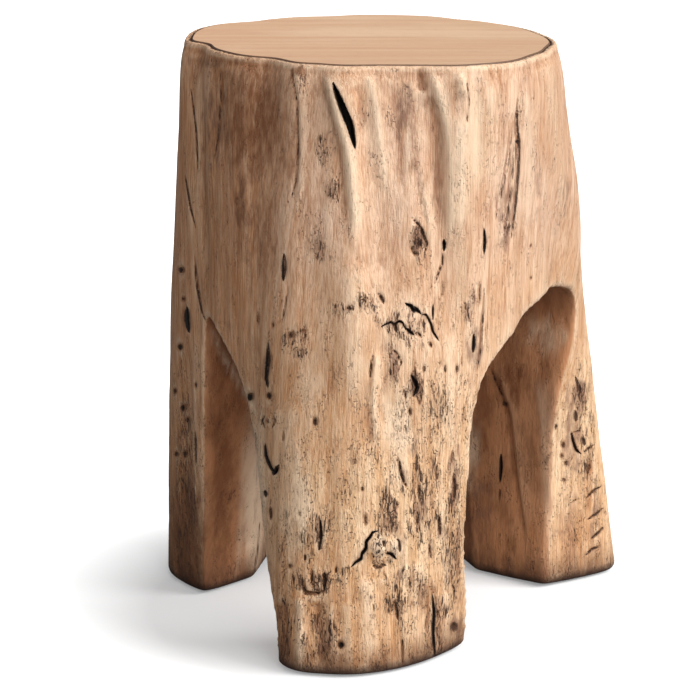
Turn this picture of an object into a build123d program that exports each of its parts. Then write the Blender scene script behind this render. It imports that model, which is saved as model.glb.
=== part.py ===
from build123d import *
import math
import os

# Outdoor stool carved from one thick log: a fluted drum on three buttressed legs, parted
# by three arches, with a straight-grained seat board let into its top.
# Millimetres, +Z up, standing on zero, front leg towards -Y.
# An azimuth runs from the front (-Y) towards +X, in degrees. A hand-made form has a low
# side, towards lower azimuths, and a high side.

# Log
seat_height = 457.0
rim_radius = 144.0
core_foot_radius = 130.0
shoulder_bulge = 3.5
shoulder_depth = 16.0
rim_round = 2.0
waist_swell = 4.0
foot_round = 5.0

# Outline of the top: azimuth, and radius there as a share of rim_radius
rim_shares = (
    (-180.0, 1.0),
    (-150.0, 1.0),
    (-119.0, 1.045),
    (-90.0, 1.0),
    (-72.0, 0.935),
    (-48.0, 0.945),
    (-34.0, 0.91),
    (-25.0, 0.985),
    (4.0, 1.0),
    (29.0, 1.1),
    (43.0, 1.12),
    (53.0, 1.04),
    (74.0, 0.985),
    (106.0, 0.935),
    (132.0, 0.935),
    (160.0, 1.0),
    (180.0, 1.0),
)

# Buttresses, which become the legs: how far each stands out of the core at the floor
front_reach = 56.0
right_reach = 87.0
left_reach = 56.0

# Azimuth of each crest, its half-width, its low and its high flank at the floor, how much
# wider both flanks are at the top, all in degrees, and the power that they widen with
front_crest = (-14.0, 3.0, 26.0, 52.0, 22.0, 1.0)
right_crest = (118.0, 8.0, 13.0, 44.0, 90.0, 3.0)
left_crest = (-118.0, 2.0, 44.0, 30.0, 26.0, 1.0)

# Flutes of the drum: azimuth at the upper and at the lower end, half-width in degrees,
# depth as a share of flute_deepest (below zero for a ridge), and the heights of the upper
# and lower end as shares of seat_height
flute_deepest = 6.0
flute_fade = 60.0
flute_shares = (
    (-77.0, -68.0, 8.0, 0.8, 1.03, 0.55),
    (-10.0, -6.0, 8.0, -0.8, 1.0, 0.45),
    (1.0, 4.0, 8.0, 0.5, 0.98, 0.59),
    (16.0, 20.0, 8.0, 0.8, 0.98, 0.49),
    (44.0, 48.0, 8.0, 0.7, 1.03, 0.55),
    (94.0, 96.0, 20.0, -0.8, 0.8, 0.3),
    (150.0, 157.0, 12.0, 1.0, 1.03, 0.46),
    (-165.0, -172.0, 11.0, 0.8, 1.03, 0.5),
    (-137.0, -146.0, 11.0, 1.0, 1.03, 0.44),
)

# Arches between the legs, as they are at mouth_reach from the middle: height of the crown
# as a share of seat_height, how far it stands to the high side, low and high half-width at
# the floor, and what each side keeps of its half-width at the rise shares
rise_shares = (0.3, 0.55, 0.8, 0.94)
mouth_reach = 135.0
left_arch_azimuth = -57.0
left_crown_share = 0.536
left_lean = -30.0
left_low_half = 72.0
left_high_half = 92.0
left_low_shares = (0.72, 0.45, 0.24, 0.12)
left_high_shares = (0.85, 0.72, 0.54, 0.29)
right_arch_azimuth = 63.0
right_crown_share = 0.5755
right_lean = 50.0
right_low_half = 63.5
right_high_half = 81.0
right_low_shares = (1.149, 1.189, 1.149, 0.927)
right_high_shares = (1.13, 1.06, 1.28, 1.2)
back_arch_azimuth = 183.0
back_crown_share = 0.521
back_lean = 6.0
back_low_half = 68.0
back_high_half = 74.0
back_low_shares = (0.95, 0.88, 0.68, 0.38)
back_high_shares = (0.95, 0.88, 0.68, 0.38)

# Vault in the middle, where the arches meet
vault_half = 106.0
vault_crown_share = 0.63

# Drying check in the log, the long split below the rim
check_azimuth = -8.3
check_drop = 38.0
check_length = 52.0
check_width = 6.5
check_depth = 12.0
check_lean = 17.0

# Seat board and its sealed joint
board_thick = 18.0
board_proud = 0.7
board_edge = 0.9
lip = 2.6
joint_gap = 1.3
seal_depth = 6.0
seal_drop = 0.5
seal_clearance = 0.1
dowel_radius = 5.0
dowel_length = 30.0
dowel_in_board = 11.0
dowel_inset = 56.0
dowel_edge = 1.0
dowel_clearance = 0.1
dowel_end_clearance = 0.5
dowel_count = 3

# Foot glides and their screws, at these azimuths, set in from the foot's outer face
glide_azimuths = {"front": -2.0, "right": 121.0, "left": -124.0}
glide_inset = 38.0
glide_radius = 14.0
glide_thick = 5.0
glide_proud = 1.5
glide_edge = 1.0
glide_clearance = 0.3
screw_length = 25.0
screw_radius = 2.0
screw_tip = 4.0
screw_head_radius = 4.0
screw_head_thick = 2.4
screw_sink = 0.8
screw_clearance = 0.1
drive_width = 2.5
drive_depth = 1.5

overrun = 20.0
mouth_overrun = 45.0
stations = 60
levels = 12
level_ease_share = 0.6

rim_top = seat_height - board_proud
recess_floor = seat_height - board_thick
foot_bottom = glide_proud
dowel_circle = rim_radius - dowel_inset
buttresses = ((front_reach, front_crest), (right_reach, right_crest), (left_reach, left_crest))
vault_crown = vault_crown_share * seat_height
arches = (
    (left_arch_azimuth, left_crown_share * seat_height, left_lean, left_low_half, left_high_half,
     left_low_shares, left_high_shares),
    (right_arch_azimuth, right_crown_share * seat_height, right_lean, right_low_half, right_high_half,
     right_low_shares, right_high_shares),
    (back_arch_azimuth, back_crown_share * seat_height, back_lean, back_low_half, back_high_half,
     back_low_shares, back_high_shares),
)


def smooth(share):
    """Eases from 0 to 1 with level ends."""
    share = min(1.0, max(0.0, share))
    return share * share * (3.0 - 2.0 * share)


def apart(azimuth, other):
    """Signed angle from the other azimuth, within half a turn."""
    return (azimuth - other + 180.0) % 360.0 - 180.0


def at(azimuth, radius):
    """Plan position of a point."""
    turn = math.radians(azimuth)
    return radius * math.sin(turn), -radius * math.cos(turn)


def hump(angle, crest, low_flank, high_flank):
    """1 over a crest, falling to 0 past its low or high flank."""
    flank = low_flank if angle < 0 else high_flank
    return smooth(1.0 - (abs(angle) - crest) / flank)


def rim_share(azimuth):
    """Share of rim_radius at an azimuth from -180 to 180."""
    for (low, low_share), (high, high_share) in zip(rim_shares, rim_shares[1:]):
        if low <= azimuth <= high:
            return low_share + (high_share - low_share) * smooth((azimuth - low) / (high - low))


def flute_depth(azimuth, height):
    """How far the flutes and ridges set the surface back at this point."""
    total = 0.0
    for upper, lower, half, depth_share, top_share, bottom_share in flute_shares:
        top = top_share * seat_height
        bottom = bottom_share * seat_height
        centre = upper + (lower - upper) * min(1.0, max(0.0, (top - height) / (top - bottom)))
        fade = smooth((height - bottom) / flute_fade) * smooth((top - height) / flute_fade + 0.5)
        total += flute_deepest * depth_share * fade * hump(apart(azimuth, centre), 0.0, half, half)
    return total


def trunk_radius(azimuth, height):
    """Outer radius of the log."""
    down = min(1.0, max(0.0, 1.0 - height / seat_height))
    core = rim_radius + (core_foot_radius - rim_radius) * down
    core *= 1.0 + (rim_share(apart(azimuth, 0.0)) - 1.0) * (1.0 - down)
    core += shoulder_bulge * smooth((seat_height - height) / shoulder_depth) * (1.0 - down)
    core += waist_swell * math.sin(math.pi * down)
    for reach, crest in buttresses:
        centre, half, low_flank, high_flank, spread, power = crest
        wider = spread * (1.0 - down) ** power
        angle = apart(azimuth, centre)
        core += reach * down * hump(angle, half, low_flank + wider, high_flank + wider)
    return core - flute_depth(azimuth, height)


def outline(level, inset, height=None):
    """Closed curve at a level, set in from the log's surface at a height."""
    height = level if height is None else height
    points = []
    for station in range(stations):
        azimuth = 360.0 * station / stations
        points.append(Vector(*at(azimuth, trunk_radius(azimuth, height) - inset), level))
    shares = [station / stations for station in range(stations + 1)]
    return Wire([Edge.make_spline(points, periodic=True, parameters=shares)])


def slab(low, high, inset):
    """Upright plate between two levels that follows the rim's outline."""
    face = Face(outline(low, inset, seat_height))
    return Solid.extrude(face, Vector(0, 0, high - low))


def upright(azimuth, distance, radius, low, high):
    """Upright round bar at a place in plan."""
    x, y = at(azimuth, distance)
    return Pos(x, y, low) * Cylinder(radius, high - low, align=(Align.CENTER, Align.CENTER, Align.MIN))




def log():
    """The log before anything is cut from it, on levels that draw together at its ends."""
    tall = rim_top - foot_bottom
    wires = []
    for level in range(levels + 1):
        share = level / levels
        eased = (1.0 - math.cos(math.pi * share)) / 2.0
        rise = tall * (share + (eased - share) * level_ease_share)
        wires.append(outline(foot_bottom + rise, 0.0))
    return Solid.make_loft(wires)


def arch_curve(crown, lean, low_half, high_half, low_shares, high_shares):
    """Points of an arch from foot to foot: how far to the high side, and how high."""
    low_side = [(lean - (low_half + lean) * s, rise * crown) for rise, s in zip(rise_shares, low_shares)]
    high_side = [(lean + (high_half - lean) * s, rise * crown) for rise, s in zip(rise_shares, high_shares)]
    feet = (-low_half, foot_bottom), (high_half, foot_bottom)
    return [feet[0], *low_side, (lean, crown), *high_side[::-1], feet[1]]


def arch_wire(azimuth, along, curve):
    """Arch outline on a plane square to its tunnel, so far from the middle."""
    x, y = at(azimuth, along)
    out_x, out_y = at(azimuth, 1.0)
    plane = Plane(origin=(x, y, 0), x_dir=(-out_y, out_x, 0), z_dir=(out_x, out_y, 0))
    points = [plane.from_local_coords(Vector(across, rise, 0)) for across, rise in curve]
    low = plane.from_local_coords(Vector(curve[0][0], -overrun, 0))
    high = plane.from_local_coords(Vector(curve[-1][0], -overrun, 0))
    return Wire(
        [
            Edge.make_line(low, points[0]),
            Edge.make_spline(points, tangents=[Vector(0, 0, 1), Vector(0, 0, -1)]),
            Edge.make_line(points[-1], high),
            Edge.make_line(high, low),
        ]
    )


def arch(azimuth, crown, lean, low_half, high_half, low_shares, high_shares):
    """Straight-sided tunnel from the vault out through the arch's mouth."""
    mouth = arch_curve(crown, lean, low_half, high_half, low_shares, high_shares)
    held = [[min(1.0, share) for share in shares] for shares in (low_shares, high_shares)]
    vault = arch_curve(vault_crown, lean, vault_half, vault_half, *held)
    outside = mouth_reach + mouth_overrun
    past = outside / mouth_reach
    far = [
        (in_x + (out_x - in_x) * past, in_z + (out_z - in_z) * past)
        for (in_x, in_z), (out_x, out_z) in zip(vault, mouth)
    ]
    return Solid.make_loft([arch_wire(azimuth, outside, far), arch_wire(azimuth, 0.0, vault)], ruled=True)


def drying_check():
    """Lens-shaped split in the log's face."""
    check_height = seat_height - check_drop
    x, y = at(check_azimuth, trunk_radius(check_azimuth, check_height))
    out_x, out_y = at(check_azimuth, 1.0)
    plane = Plane(origin=(x, y, check_height), x_dir=(-out_y, out_x, 0), z_dir=(out_x, out_y, 0))
    tip = check_length / 2
    side = check_width / 2
    with BuildSketch(plane.rotated((0, 0, check_lean))) as lens:
        with BuildLine():
            ThreePointArc((0, -tip), (side, 0), (0, tip))
            ThreePointArc((0, tip), (-side, 0), (0, -tip))
        make_face()
    return extrude(lens.sketch, check_depth, both=True)


def dowel_azimuths():
    """Where the dowels stand, evenly round the board."""
    return [360.0 * count / dowel_count for count in range(dowel_count)]


def glide_distance(azimuth):
    """How far a foot's glide is from the log's middle."""
    return trunk_radius(azimuth, 0.0) - glide_inset


def trunk():
    """Carved log with its recess for the board and its holes and pockets."""
    body = log()
    for values in arches:
        body -= arch(*values)
    body = fillet(body.faces().sort_by(Axis.Z)[-1].edges(), rim_round)
    soles = body.faces().filter_by(Plane.XY).group_by(Axis.Z)[0]
    body = fillet([edge for sole in soles for edge in sole.edges()], foot_round)
    body -= drying_check()
    body -= slab(recess_floor, seat_height + overrun, lip)
    dowel_foot = recess_floor + dowel_in_board - dowel_length - dowel_end_clearance
    for azimuth in dowel_azimuths():
        hole = dowel_radius + dowel_clearance
        body -= upright(azimuth, dowel_circle, hole, dowel_foot, recess_floor + overrun)
    for azimuth in glide_azimuths.values():
        distance = glide_distance(azimuth)
        body -= upright(azimuth, distance, glide_radius + glide_clearance, -overrun, glide_thick)
        hole = screw_radius + screw_clearance
        body -= upright(azimuth, distance, hole, -overrun, screw_sink + screw_length)
    return body


def seat_board():
    """Board that drops into the recess, with a softened top edge and blind holes below."""
    inset = lip + joint_gap
    shoulder = outline(seat_height - board_edge, inset, seat_height)
    top = outline(seat_height, inset + board_edge)
    body = slab(recess_floor, seat_height - board_edge, inset)
    body += Solid.make_loft([shoulder, top], ruled=True)
    for azimuth in dowel_azimuths():
        hole = dowel_radius + dowel_clearance
        ceiling = recess_floor + dowel_in_board + dowel_end_clearance
        body -= upright(azimuth, dowel_circle, hole, recess_floor - overrun, ceiling)
    return body


def seat_joint_seal():
    """Bead of sealant that fills the upper part of the joint round the board."""
    high = rim_top - seal_drop
    low = high - seal_depth
    outer = slab(low, high, lip + seal_clearance)
    return outer - slab(low, high, lip + joint_gap - seal_clearance)


def seat_dowels():
    """Blind dowels between board and log."""
    low = recess_floor + dowel_in_board - dowel_length
    dowels = []
    for azimuth in dowel_azimuths():
        dowel = upright(azimuth, dowel_circle, dowel_radius, low, low + dowel_length)
        dowels.append(chamfer(dowel.edges().filter_by(GeomType.CIRCLE), dowel_edge))
    return dowels


def glide(azimuth):
    """Disc let into a foot, with a counterbored hole for its screw."""
    distance = glide_distance(azimuth)
    body = upright(azimuth, distance, glide_radius, 0.0, glide_thick)
    body = fillet(body.edges().group_by(Axis.Z)[0], glide_edge)
    head = screw_head_radius + screw_clearance
    body -= upright(azimuth, distance, head, -overrun, screw_sink + screw_head_thick)
    body -= upright(azimuth, distance, screw_radius + screw_clearance, 0.0, overrun)
    return body


def glide_screw(azimuth):
    """Screw with a flat head, a square drive and a pointed end."""
    distance = glide_distance(azimuth)
    x, y = at(azimuth, distance)
    neck = screw_sink + screw_head_thick
    point = screw_sink + screw_length
    body = upright(azimuth, distance, screw_head_radius, screw_sink, neck)
    body += upright(azimuth, distance, screw_radius, neck, point - screw_tip)
    base = (Align.CENTER, Align.CENTER, Align.MIN)
    body += Pos(x, y, point - screw_tip) * Cone(screw_radius, 0.0, screw_tip, align=base)
    body -= Pos(x, y, screw_sink) * Box(drive_width, drive_width, drive_depth, align=base)
    return body


parts = {
    "trunk": [trunk()],
    "seat_board": [seat_board()],
    "seat_joint_seal": [seat_joint_seal()],
    "seat_dowels": seat_dowels(),
    "glide_screws": [glide_screw(azimuth) for azimuth in glide_azimuths.values()],
}
for foot, azimuth in glide_azimuths.items():
    parts[foot + "_glide"] = [glide(azimuth)]

# The origin is on the floor, in the middle of the stool's bounding box.
box = parts["trunk"][0].bounding_box()
middle = box.center()
print("moved by", -middle.X, -middle.Y, "size", box.size)

os.makedirs("parts", exist_ok=True)
for name, solids in parts.items():
    placed = [Pos(-middle.X, -middle.Y, 0) * solid for solid in solids]
    shape = placed[0] if len(placed) == 1 else Compound(placed)
    export_step(shape, "parts/" + name + ".step")
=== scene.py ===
import math
import random

import bmesh
import bpy
import numpy as np
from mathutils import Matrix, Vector, noise
from mathutils.bvhtree import BVHTree


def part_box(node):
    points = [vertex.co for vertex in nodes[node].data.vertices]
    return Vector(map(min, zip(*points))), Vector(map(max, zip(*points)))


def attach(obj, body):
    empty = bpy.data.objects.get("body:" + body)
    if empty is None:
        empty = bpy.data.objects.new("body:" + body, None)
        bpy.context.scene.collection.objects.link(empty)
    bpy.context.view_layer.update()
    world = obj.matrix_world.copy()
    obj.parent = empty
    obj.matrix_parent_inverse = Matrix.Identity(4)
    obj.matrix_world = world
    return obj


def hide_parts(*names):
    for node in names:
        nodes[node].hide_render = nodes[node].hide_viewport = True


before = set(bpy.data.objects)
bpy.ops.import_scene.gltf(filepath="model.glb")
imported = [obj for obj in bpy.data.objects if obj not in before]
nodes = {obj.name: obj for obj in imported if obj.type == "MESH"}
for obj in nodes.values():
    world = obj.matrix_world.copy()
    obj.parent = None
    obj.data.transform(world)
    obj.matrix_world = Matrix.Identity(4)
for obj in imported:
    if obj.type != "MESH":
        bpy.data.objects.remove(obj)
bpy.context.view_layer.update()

# Camera. A long lens 2.2 m in front of the stool and well above its seat, tipped down a
# little, so that the top shows as a thin ellipse and all three feet are in view. The picture
# is square, and the focal length is in its pixels.
picture_side = 700.0
focal_length = 2856.2
sensor_width = 36.0
camera_place = Vector((-0.0349, -2.1852, 0.7614))
camera_pitch = math.radians(14.11)

camera_data = bpy.data.cameras.new("camera")
camera_data.sensor_width = sensor_width
camera_data.lens = focal_length / picture_side * sensor_width
camera = bpy.data.objects.new("camera", camera_data)
camera.location = camera_place
camera.rotation_euler = (math.pi / 2 - camera_pitch, 0.0, 0.0)
bpy.context.scene.collection.objects.link(camera)
bpy.context.scene.camera = camera
bpy.context.scene.view_settings.view_transform = "Standard"


def sight_line(x, y):
    """Direction from the camera through a point of the 700 by 700 picture."""
    right = (x - picture_side / 2) / focal_length
    up = (picture_side / 2 - y) / focal_length
    cosine, sine = math.cos(camera_pitch), math.sin(camera_pitch)
    return Vector((right, cosine + up * sine, up * cosine - sine)).normalized()


# Studio. A soft key lamp stands high on the right and a broad weaker one to the right of the
# camera, so that the left side of the log falls into brown shade. The floor is white, and the
# stool's soft shadow on it fades out from fade_from to fade_to, in metres.
millimetre = 0.001
white = (1.0, 1.0, 1.0, 1.0)
floor_side = 16.0
floor_seen, floor_bounce = 0.72, 0.26
floor_glow, fade_glow = 0.24, 0.8
fade_from, fade_to = 0.195, 0.3
fill_strength = 0.2
key_turn, key_height, key_spread, key_strength = 70.0, 38.0, 34.0, 2.9
front_turn, front_height, front_spread, front_strength = 24.0, 34.0, 60.0, 2.2


def add_node(tree, kind, inputs=None, **settings):
    """Adds a node with its settings, and sets or links its inputs, a node by the first in use."""
    made = tree.nodes.new("ShaderNode" + kind)
    for name, value in settings.items():
        setattr(made, name, value)
    for name, value in (inputs or {}).items():
        if isinstance(value, bpy.types.Node):
            value = next(socket for socket in value.outputs if socket.enabled)
        if isinstance(value, bpy.types.NodeSocket):
            tree.links.new(value, made.inputs[name])
        else:
            made.inputs[name].default_value = value
    return made


def add_sun(name, turn, height, spread, strength):
    """Distant lamp: degrees to the right of the front and above the floor, and its spread."""
    data = bpy.data.lights.new(name, "SUN")
    data.angle = math.radians(spread)
    data.energy = strength
    lamp = bpy.data.objects.new(name, data)
    lamp.rotation_euler = (math.radians(90.0 - height), 0.0, math.radians(turn))
    bpy.context.scene.collection.objects.link(lamp)


add_sun("key", key_turn, key_height, key_spread, key_strength)
add_sun("front", front_turn, front_height, front_spread, front_strength)

bpy.ops.object.select_all(action="DESELECT")
bpy.ops.mesh.primitive_plane_add(size=floor_side, location=(0.0, 0.0, 0.0))
floor = bpy.context.object
floor.name = "floor"

floor_paint = bpy.data.materials.new("floor_paint")
floor_paint.use_nodes = True
tree = floor_paint.node_tree
tree.nodes.clear()
seen = add_node(tree, "LightPath").outputs["Is Camera Ray"]
shade = add_node(tree, "MapRange", {"Value": seen, "To Min": floor_bounce, "To Max": floor_seen})
paint = add_node(tree, "BsdfDiffuse", {"Color": shade.outputs[0]})
spot = add_node(tree, "TexCoord").outputs["Object"]
away = add_node(tree, "VectorMath", {0: spot}, operation="LENGTH").outputs["Value"]
fade_ends = {"From Min": fade_from, "From Max": fade_to, "To Min": floor_glow, "To Max": fade_glow}
fade = add_node(tree, "MapRange", {"Value": away, **fade_ends})
lit = add_node(tree, "Math", {0: seen, 1: fade}, operation="MULTIPLY")
glow = add_node(tree, "Emission", {"Color": white, "Strength": lit.outputs[0]})
both = add_node(tree, "AddShader", {0: paint.outputs[0], 1: glow.outputs[0]})
add_node(tree, "OutputMaterial", {"Surface": both.outputs[0]})
floor.data.materials.append(floor_paint)

world = bpy.data.worlds.new("studio")
bpy.context.scene.world = world
world.use_nodes = True
tree = world.node_tree
tree.nodes.clear()
seen = add_node(tree, "LightPath").outputs["Is Camera Ray"]
level = add_node(tree, "MapRange", {"Value": seen, "To Min": fill_strength, "To Max": 1.0})
air = add_node(tree, "Background", {"Color": white, "Strength": level.outputs[0]})
add_node(tree, "OutputWorld", {"Surface": air.outputs[0]})


# Carved log. One piece of teak root: the solid's form, worn into flutes and ridges, split by
# drying checks, and eaten and chipped where the bark was cut off. Its top is let down for
# the board and its feet for the glides.
log_axis = Vector((-0.0172, 0.0149))
voxel = 0.0019
recess_floor, rim_top = 0.439, 0.4563
board_joint, joint_slack = 0.0013, 0.00015
sole, glide_reach = 0.0015, 0.0143
mm_in_pixel = 0.78
weight_steps = 10
rim_eased = (0.43, 0.446)

# What is cut into the solid is closed before the surface is worn: the recess, the dowels'
# holes under it, the glides' pockets and the lens of a drying check. All but the dowels'
# holes, which are out of sight, are cut again in the worn log.
floor_slack, hair = 0.0005, 0.0001
cuts_from, recess_reach, facing_up = 0.4, 0.158, 0.9
dowel_reach = 0.115
pocket_tall, pocket_slack = 0.03, 0.00002
check_place, check_turn = Vector((-0.0396, -0.1387, 0.419)), math.radians(8.7)
check_wide, check_tall, check_deep, check_slack = 0.00325, 0.026, 0.0135, 0.0003


def select_only(piece):
    """Makes one object the active one, and the only one that is selected."""
    bpy.ops.object.select_all(action="DESELECT")
    bpy.context.view_layer.objects.active = piece
    piece.select_set(True)


def copy_of(node, name):
    """A loose copy of a CAD node's mesh as an object of its own."""
    made = bpy.data.objects.new(name, nodes[node].data.copy())
    bpy.context.scene.collection.objects.link(made)
    select_only(made)
    bpy.ops.object.mode_set(mode="EDIT")
    bpy.ops.mesh.select_all(action="SELECT")
    bpy.ops.mesh.remove_doubles(threshold=0.00001)
    bpy.ops.mesh.select_all(action="DESELECT")
    bpy.ops.object.mode_set(mode="OBJECT")
    return made


def apply(piece, kind, **settings):
    """Adds a modifier with its settings and applies it."""
    select_only(piece)
    modifier = piece.modifiers.new(kind.lower(), kind)
    for name, value in settings.items():
        setattr(modifier, name, value)
    bpy.ops.object.modifier_apply(modifier=modifier.name)


def weigh(piece, name, weights):
    """Writes a vertex group, with weights in steps of a tenth."""
    group = piece.vertex_groups.new(name=name)
    steps = np.round(weights * weight_steps)
    for step in range(1, weight_steps + 1):
        group.add(np.nonzero(steps == step)[0].tolist(), step / weight_steps, "REPLACE")


def eased(value, low, high):
    """0 below low, 1 above high, smooth between them."""
    share = np.clip((value - low) / (high - low), 0.0, 1.0)
    return share * share * (3.0 - 2.0 * share)


def vectors_of(mesh, name):
    """A mesh's vertex places or normals as an array."""
    values = np.empty(len(mesh.vertices) * 3)
    mesh.vertices.foreach_get(name, values)
    return values.reshape(-1, 3)


log = copy_of("trunk", "carved_log")
log.data.materials.clear()
glides = [
    Vector(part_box(foot + "_glide")[0]).lerp(Vector(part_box(foot + "_glide")[1]), 0.5)
    for foot in ("front", "right", "left")
]
for face in log.data.polygons:
    centre, facing = face.center, face.normal
    across = centre.xy - log_axis
    inward = facing.xy.dot(across) < -hair
    in_recess = recess_floor - floor_slack < centre.z < rim_top - hair and inward
    level = across.length < recess_reach and facing.z > facing_up
    on_floor = cuts_from < centre.z < recess_floor + floor_slack and level
    in_dowel = cuts_from < centre.z < recess_floor + hair and across.length < dowel_reach
    off_glide = min((centre.xy - glide.xy).length for glide in glides)
    in_pocket = off_glide < glide_reach + pocket_slack and centre.z < pocket_tall
    from_check = centre - check_place
    aside = from_check.x * math.cos(check_turn) + from_check.y * math.sin(check_turn)
    outward = from_check.x * math.sin(check_turn) - from_check.y * math.cos(check_turn)
    lens = check_wide * (1.0 - (from_check.z / check_tall) ** 2) + check_slack
    in_check = abs(aside) < lens and outward > -check_deep
    face.select = in_recess or on_floor or in_dowel or in_pocket or in_check
bpy.ops.object.mode_set(mode="EDIT")
bpy.ops.mesh.select_mode(type="FACE")
bpy.ops.mesh.delete(type="FACE")
bpy.ops.mesh.select_all(action="SELECT")
bpy.ops.mesh.fill_holes(sides=0)
bpy.ops.mesh.quads_convert_to_tris()
bpy.ops.object.mode_set(mode="OBJECT")
apply(log, "REMESH", mode="VOXEL", voxel_size=voxel)
apply(log, "SMOOTH", factor=0.5, iterations=2)
weigh(log, "below_rim", 1.0 - eased(vectors_of(log.data, "co")[:, 2], *rim_eased))
apply(log, "SMOOTH", factor=0.5, iterations=7, vertex_group="below_rim")
print("carved log", len(log.data.vertices), "vertices")
bare = BVHTree.FromObject(log, bpy.context.evaluated_depsgraph_get())

# A point of the picture just off the log's outline finds the log in rings, a pixel apart,
# and the rays of a side view start well outside the log
search_rings, search_turns = 30, 12
well_outside = 0.4


def seen_from_camera(places):
    """Where places show in the picture, in millimetres at the log's distance."""
    offset = places - np.array(camera_place)
    cosine, sine = math.cos(camera_pitch), math.sin(camera_pitch)
    depth = offset[:, 1] * cosine - offset[:, 2] * sine
    x = picture_side / 2 + focal_length * offset[:, 0] / depth
    y = picture_side / 2 - focal_length * (offset[:, 1] * sine + offset[:, 2] * cosine) / depth
    return np.column_stack((x, y)) * mm_in_pixel


def cast_from_camera(x, y):
    """The point of the log's surface that shows at a point of the picture, or nearest to it."""
    for ring in range(search_rings):
        for turn in range(search_turns if ring else 1):
            aside = ring * math.sin(turn * math.tau / search_turns)
            above = ring * math.cos(turn * math.tau / search_turns)
            way = sight_line(x / mm_in_pixel + aside, y / mm_in_pixel - above)
            hit = bare.ray_cast(camera_place, way)[0]
            if hit is not None:
                return np.array(hit)
    raise ValueError(f"no log near {x}, {y} of the picture")


def side_view(turn):
    """The same two for a level view from a turn, in degrees, of what the camera doesn't see."""
    away = np.array((math.sin(math.radians(turn)), -math.cos(math.radians(turn))))
    along = np.array((-away[1], away[0]))
    middle = np.array(log_axis)

    def seen(places):
        return np.column_stack(((places[:, :2] - middle) @ along, -places[:, 2])) / millimetre

    def cast(x, y):
        start = middle + along * x * millimetre + away * well_outside
        hit, facing = bare.ray_cast(Vector((*start, -y * millimetre)), Vector((*-away, 0.0)))[:2]
        in_front = hit is not None and facing.dot(camera_place - hit) > 0.0
        return None if hit is None or in_front else np.array(hit)

    return cast, seen


front_view = (cast_from_camera, seen_from_camera)


def waves(places, wide, tall, start=(0.0, 0.0, 0.0)):
    """Soft noise at places, with waves so wide and so tall, in metres."""
    start = Vector(start)
    return np.array([noise.noise(Vector((x / wide, y / wide, z / tall)) + start) for x, y, z in places])


class Skin:
    """The log's vertices, with what is carved and painted on them."""

    # Rounds of evening out, how far outward the outside faces, the band under the rim that
    # isn't outside, the size of uneven patches, and the room kept round a line
    even_rounds = 4
    outside_facing = (0.1, 0.45)
    top_band = 0.0008
    uneven_form = (0.006, 0.016)
    near_widths, near_more = 3.2, 0.008

    def __init__(self, mesh):
        ends = np.empty(len(mesh.edges) * 2, int)
        mesh.edges.foreach_get("vertices", ends)
        self.ends = ends.reshape(-1, 2)
        self.place = vectors_of(mesh, "co")
        self.facing = self.spread(vectors_of(mesh, "normal"), self.even_rounds)
        self.facing /= np.linalg.norm(self.facing, axis=1, keepdims=True)
        across = self.place[:, :2] - np.array(log_axis)
        reach = np.maximum(np.linalg.norm(across, axis=1), 1e-6)
        self.outward = (self.facing[:, :2] * across).sum(axis=1) / reach
        self.outside = self.spread(eased(self.outward, *self.outside_facing), self.even_rounds)
        self.outside[self.place[:, 2] > rim_top - self.top_band] = 0.0
        self.spots = {}
        self.uneven = waves(self.place, *self.uneven_form)

    def spread(self, values, rounds):
        """Values at the vertices, each evened out with its neighbours' a number of times."""
        one, other = self.ends.T
        count = np.bincount(self.ends.ravel(), minlength=len(self.place))
        columns = [values] if values.ndim == 1 else list(values.T)
        for turn in range(rounds):
            for index, column in enumerate(columns):
                total = np.bincount(one, column[other], len(column))
                total += np.bincount(other, column[one], len(column))
                columns[index] = 0.5 * column + 0.5 * total / np.maximum(count, 1)
        return columns[0] if values.ndim == 1 else np.column_stack(columns)

    def bulge(self, rounds):
        """How far each vertex stands out from its neighbourhood, in millimetres."""
        return ((self.place - self.spread(self.place, rounds)) * self.facing).sum(axis=1) / millimetre

    def near(self, view, points, width):
        """Vertices near a line: which, how far off it in widths (left below zero), how far along."""
        cast, seen = view
        hits = [cast(x, y) for x, y in points]
        if any(hit is None for hit in hits):
            return np.zeros(0, int), np.zeros(0), np.zeros(0)
        spine = np.array(hits)
        room = self.near_widths * width * millimetre + self.near_more
        low, high = spine.min(axis=0) - room, spine.max(axis=0) + room
        chosen = np.nonzero(((self.place > low) & (self.place < high)).all(axis=1))[0]
        if view not in self.spots:
            self.spots[view] = seen(self.place)
        spot = self.spots[view][chosen]
        line = np.array(points, float)
        steps = np.maximum(np.linalg.norm(np.diff(line, axis=0), axis=1), 1e-6)
        off = np.full(len(spot), np.inf)
        along = np.zeros(len(spot))
        before = 0.0
        for start, end, step in zip(line, line[1:], steps):
            way = (end - start) / step
            share = np.clip((spot - start) @ way, 0.0, step)
            gap = spot - start - share[:, None] * way
            length = np.linalg.norm(gap, axis=1)
            side = np.where(way[0] * gap[:, 1] - way[1] * gap[:, 0] > 0.0, -1.0, 1.0)
            closer = length < np.abs(off)
            off[closer] = (length * side)[closer]
            along[closer] = (before + share[closer]) / steps.sum()
            before += step
        return chosen, off / width, along


def pixels(points):
    """Points of the picture in millimetres."""
    return tuple((x * mm_in_pixel, y * mm_in_pixel) for x, y in points)


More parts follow.
